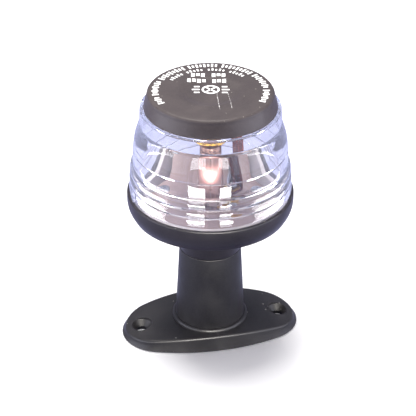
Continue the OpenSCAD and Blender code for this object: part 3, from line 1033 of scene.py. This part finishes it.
def make_riser():
    outline = rounded([
        (strip_in_r, pad_z), (riser_r, pad_z, 1.0), (riser_r, riser_hi.z), (riser_r - metal, riser_hi.z),
        (riser_r - metal, pad_z + metal, 0.4), (strip_in_r, pad_z + metal),
    ])
    piece = slab("riser_strip", outline, -strip_w / 2, strip_w / 2)
    cut(piece, drill(1.45, pad_z - 1, pad_z + 2, (terminal_r, 0, 0)))
    near, far = riser_r - metal - 0.35, riser_r - metal + 0.1
    low, high = pad_z + 5, riser_hi.z - 4
    rib = slab("rib", rounded([(near, low, 0.3), (far, low), (far, high), (near, high, 0.3)]), -0.9, 0.9)
    fuse(piece, soften(rib, 0.15))
    turn_to(soften(piece, 0.08, 2), riser_angle)
    return finish(piece, "base", "contact_riser", "contact_brass", material="riser_brass")


def make_upper_contact():
    h = 0.6
    disc_r = 7.0
    top = arm_z + h
    piece = slab("upper_contact_spring", [(2, arm_z), (riser_r, arm_z), (riser_r, top), (2, top)],
                 -strip_w / 2, strip_w / 2)
    dish = turned("dish", rounded([
        (0, arm_z), (disc_r, arm_z, 0.45), (disc_r, arm_z + 1.4, 0.15), (disc_r - 0.6, arm_z + 1.4, 0.15),
        (disc_r - 0.6, top, 0.2), (3.4, top), (3.0, top + 0.35, 0.2), (0, top + 0.35),
    ]), 96)
    low, high = top + 0.001, arm_z + 4
    gap = slab("gap", [(0.5, low), (14, low), (14, high), (0.5, high)], -strip_w / 2 - 0.4, strip_w / 2 + 0.4)
    cut(gap, rod("keep", 4.2, arm_z - 1, arm_z + 5))
    cut(dish, gap)
    fuse(piece, dish)
    cut(piece, rod("hole", 1.6, arm_z - 1, arm_z + 3))
    turn_to(soften(piece, 0.07, 2), riser_angle)
    return finish(piece, "contact_arm", "upper_contact", "contact_brass")


def make_clamps():
    plates = []
    z = pad_z + metal
    for r, a in terminals:
        plate = slab("clamp", rounded([
            (-2.2, z), (2.2, z), (2.2, z + 0.8, 0.2), (1.7, z + 0.55), (-1.7, z + 0.55), (-2.2, z + 0.8, 0.2),
        ]), -2.8, 2.8)
        plate = cut(plate, rod("hole", 1.45, z - 1, z + 2))
        plates.append(turn_to(turn_to(soften(plate, 0.08), 0, (r, 0, 0)), a))
    piece = join(plates[0], plates[1:])
    piece.name = "clamp_washers"
    return finish(piece, "base", "terminal_clamps", "contact_brass")


# ---------------------------------------------------------------- bulb
def make_bulb():
    wall = 0.6
    end = glass_hi.z
    shoulder = bulb_top - 10.3
    neck = 3.9
    half = [(glass_r, shoulder - 3.5), (glass_r - 0.05, shoulder - 1.2), (glass_r - 0.4, shoulder - 0.1),
            (neck + 0.35, shoulder + 0.9), (neck, shoulder + 2), (neck, end - 0.7), (neck - 0.6, end),
            (0.7, end)]
    inner = [(max(r - wall, 0.7), min(z, end - wall)) for r, z in half]

    def mirrored(points):
        return [(r, 2 * bulb_mid - z) for r, z in points]

    outline = mirrored(half)[::-1] + half + inner[::-1] + mirrored(inner)
    glass = turned("bulb_envelope", outline, 96)
    finish(glass, "bulb", "bulb_glass", "bulb_clear", 60)

    def end_cap(name):
        r = cap_end_r
        return turned(name, rounded([
            (0, 0), (0.5, 0.0, 0.2), (r - 0.35, 1.62, 0.3), (r, 1.95, 0.25), (r, 3.2), (r - 0.22, 3.45, 0.15),
            (r - 0.22, 4.0, 0.15), (r, 4.25), (r, 7.6), (r - 0.05, 8.0, 0.1), (r - 0.3, 8.0), (r - 0.3, 2.1),
            (0.5, 0.62), (0, 0.6),
        ]), 96)

    low = end_cap("bulb_cap_low")
    low.data.transform(Matrix.Translation((0, 0, bulb_z * MM)))
    finish(low, "bulb", "bulb_lower_cap", "bulb_metal")
    high = end_cap("bulb_cap_high")
    high.data.transform(Matrix.Translation((0, 0, bulb_top * MM)) @ Matrix.Rotation(math.pi, 4, "X"))
    finish(high, "bulb", "bulb_upper_cap", "bulb_metal")

    turns, per_turn, coil_r, wire_r = 20, 14, 0.34, 0.07
    count = turns * per_turn
    low_z, high_z = coil_lo.z + 0.1, coil_hi.z - 0.1
    path = [(coil_r * math.cos(TAU * k / per_turn), coil_r * math.sin(TAU * k / per_turn),
             low_z + (high_z - low_z) * k / count) for k in range(count + 1)]
    coil = wire("filament_coil", path, wire_r, 8)
    finish(coil, "bulb", "bulb_filament", "filament_metal", 60)

    def lead(from_z, to_z, side):
        run = to_z - from_z
        points = [(0, 0, from_z), (0, 0, from_z + run * 0.5), (0.16 * side, 0, from_z + run * 0.62),
                  (0.2 * side, 0, from_z + run * 0.9), (0.12 * side, 0, to_z)]
        return wire("lead", points, 0.16, 10)

    leads = join(lead(bulb_z + 0.65, coil_lo.z + 0.3, 1), [lead(bulb_top - 0.65, coil_hi.z - 0.3, -1)])
    leads.name = "support_leads"
    finish(leads, "bulb", "bulb_leads", "lead_metal", 60)


# ---------------------------------------------------------------- seals, grommet, set screw
def o_ring(name, lo, hi, node, body):
    """A round sealing ring with the fine moulding line that such rings have."""
    r = (hi.z - lo.z) / 2
    mid_r, mid_z = hi.x - r, (hi.z + lo.z) / 2
    outline = []
    for k in range(40):
        a = TAU * k / 40
        line = 0.03 if k in (0, 20) else -0.02
        outline.append((mid_r + (r + line * 0.5) * math.cos(a), mid_z + (r + line * 0.5) * math.sin(a)))
    piece = turned(name, outline)
    return finish(piece, body, node, "seal_rubber", 50)


def make_grommet():
    z0, flange = plug_lo.z, spigot_z
    top = plug_hi.z
    outer = plug_hi.x
    body_r = bore_r - 0.05
    corners = [(cable_r, z0, 0.3), (outer, z0, 0.3), (outer, flange, 0.2), (body_r - 0.25, flange)]
    for k in range(3):
        z = flange + 0.9 + k * 1.55
        r = body_r - 0.12 * k
        corners += [(r - 0.28, z), (r, z + 0.45, 0.15), (r - 0.28, z + 0.9)]
    corners += [(body_r - 0.5, top, 0.3), (cable_r + 0.4, top, 0.3), (cable_r, top - 0.6)]
    piece = turned("cable_grommet_rubber", rounded(corners), 128)
    return finish(piece, "base", "cable_grommet", "seal_rubber")


def make_set_screw():
    length = screw_hi.y - screw_lo.y
    r = set_screw_r - 0.02
    outline = [(0, 0), (r * 0.55, 0), (r * 0.62, 0.12)]
    z = 0.25
    while z < length - 0.45:
        outline += [(r * 0.86, z), (r, z + 0.25)]
        z += 0.5
    outline += [(r * 0.86, length - 0.18), (r * 0.8, length), (0, length)]
    piece = turned("set_screw", outline, 48)
    socket = rod("socket", 0.87, length - 1.3, length + 1, 6)
    cut(piece, socket)
    lay_on_screw_axis(piece)
    return finish(piece, "base", "neck_screw", "screw_steel")


make_pedestal()
make_head()
make_lens()
make_cap()
make_cap_print()
make_holder()
make_screws("holder_screws_pan", "holder_screws", [(screw_r, a) for a in screw_angles], flange_z,
            (2.8, 1.6, 1.45, 4.9))
make_screws("terminal_screws_pan", "terminal_screws", terminals, pad_z + metal + 0.8, (2.1, 1.6, 1.2, 4.4))
make_lower_contact()
make_riser()
make_upper_contact()
make_clamps()
make_bulb()
o_ring("lens_ring_seal", seal_lo, seal_hi, "lens_seal", "seal")
o_ring("neck_ring_seal", ring_lo, ring_hi, "neck_seal", "base")
make_grommet()
make_set_screw()


# ---------------------------------------------------------------- floor, lights, camera
def by_ray(tree, seen, through, mirrored, other):
    """A colour for what is seen directly, through clear parts, in gloss, and for its light on the rest."""
    path = add(tree, "LightPath")
    unseen = blend_colours(path.outputs["Is Glossy Ray"], other, mirrored)
    unseen = blend_colours(path.outputs["Is Transmission Ray"], unseen, through)
    return blend_colours(path.outputs["Is Camera Ray"], unseen, seen)


def make_floor():
    side = 4.0
    mesh = bpy.data.meshes.new("floor")
    corners = [(-side, -side, 0), (side, -side, 0), (side, side, 0), (-side, side, 0)]
    mesh.from_pydata(corners, [], [(0, 1, 2, 3)])
    floor = bpy.data.objects.new("floor", mesh)
    floor.location.z = -0.0002
    bpy.context.scene.collection.objects.link(floor)
    tree, shader, where = start_material("floor_paper")
    pale = blend_colours(noise(where, 3, 2), grey(0.90), grey(0.93))
    tints = ((0.42, 0.44, 0.62, 1), (0.36, 0.38, 0.60, 1), (0.20, 0.20, 0.30, 1))
    feed(shader, Base_Color=by_ray(tree, pale, *tints))
    lift = times(add(tree, "LightPath").outputs["Is Camera Ray"], 0.17)
    shader.inputs["Emission Color"].default_value = grey(1.0)
    feed(shader, Emission_Strength=lift)
    feed(shader, Roughness=spread(noise(where, 40, 2), 0.8, 0.9))
    shader.inputs["Specular IOR Level"].default_value = 0.1
    mesh.materials.append(materials["floor_paper"])


target = Vector((-0.896, 0.186, 56.88)) * MM
elevation = 31.38
distance = 717.6 * MM


def direction(azimuth, height):
    """The unit direction at an azimuth from the view's own and a height above the horizon."""
    a, e = math.radians(view_turn + azimuth), math.radians(height)
    return Vector((math.sin(a) * math.cos(e), -math.cos(a) * math.cos(e), math.sin(e)))


def make_camera():
    back = direction(0, elevation)
    right = Vector((math.cos(math.radians(view_turn)), math.sin(math.radians(view_turn)), 0))
    up = back.cross(right)
    roll = math.radians(0.162)
    right, up = right * math.cos(roll) + up * math.sin(roll), up * math.cos(roll) - right * math.sin(roll)
    camera = bpy.data.objects.new("camera", bpy.data.cameras.new("camera"))
    bpy.context.scene.collection.objects.link(camera)
    turn = Matrix((right, up, back)).transposed().to_4x4()
    camera.matrix_world = Matrix.Translation(target + back * distance) @ turn
    camera.data.sensor_width = 36
    camera.data.lens = 154.55
    camera.data.clip_start = 0.01
    camera.data.clip_end = 20
    bpy.context.scene.camera = camera


def area_light(name, azimuth, height, reach, size, radiance, tint=(1, 1, 1), aim_z=80, on=()):
    """A soft rectangular lamp that looks at a point on the axis and lights all pieces, or some."""
    lamp = bpy.data.lights.new(name, "AREA")
    lamp.shape = "RECTANGLE"
    lamp.size, lamp.size_y = size
    lamp.energy = radiance * math.pi * size[0] * size[1]
    lamp.color = tint
    lit = bpy.data.objects.new(name, lamp)
    aim = Vector((0, 0, aim_z)) * MM
    place = aim + direction(azimuth, height) * reach
    lit.location = place
    lit.rotation_mode = "QUATERNION"
    lit.rotation_quaternion = (place - aim).to_track_quat("Z", "Y")
    lit.visible_camera = False
    bpy.context.scene.collection.objects.link(lit)
    if on:
        only = bpy.data.collections.new(name + "_on")
        for piece in on:
            only.objects.link(bpy.data.objects[piece])
        lit.light_linking.receiver_collection = only
    return lit


def make_lights():
    lens = ("lens_body",)
    housings = ("pedestal_moulding", "head_moulding", "cap_shell")
    area_light("key", -150, 76, 0.9, (0.5, 0.5), 18.0, (1.0, 0.985, 0.96))
    area_light("front_top", 8, 62, 0.16, (0.10, 0.06), 8.5, (1.0, 0.95, 0.91), 112)
    glint = area_light("rim_glint", 8, 25, 0.35, (0.30, 0.10), 75, (1.0, 0.96, 0.90), 20, housings[:2])
    glint.visible_diffuse = False
    for side in (-1, 1):
        area_light("softbox", side * 68, 8, 0.30, (0.34, 0.22), 6.5, (0.84, 0.86, 1.0), 70, housings)
        area_light("lens_side", side * 60, 8, 0.30, (0.34, 0.22), 1.2, (0.76, 0.84, 1.0), 80, lens)
        area_light("low_wing", side * 76, 0, 0.062, (0.052, 0.05), 8, (1.0, 0.99, 1.0), 33, lens)
    area_light("strip_left", -16.8, 0, 0.089, (0.0314, 0.022), 26, (1, 1, 1), 46, lens)
    area_light("strip_right", 18.1, 0, 0.089, (0.0225, 0.022), 26, (1, 1, 1), 46, lens)
    world = bpy.data.worlds.new("studio")
    world.use_nodes = True
    tree = world.node_tree
    sky = tree.nodes["Background"]
    tints = ((0.94, 0.94, 0.95, 1), (0.54, 0.56, 0.72, 1), (0.40, 0.42, 0.58, 1), (0.20, 0.20, 0.27, 1))
    wire_in(sky.inputs[0], by_ray(tree, *tints))
    bpy.context.scene.world = world


make_floor()
make_camera()
make_lights()
bpy.context.scene.view_settings.view_transform = "Standard"
bpy.context.scene.cycles.transparent_max_bounces = 16
bpy.context.scene.cycles.transmission_bounces = 14
bpy.context.scene.cycles.max_bounces = 16
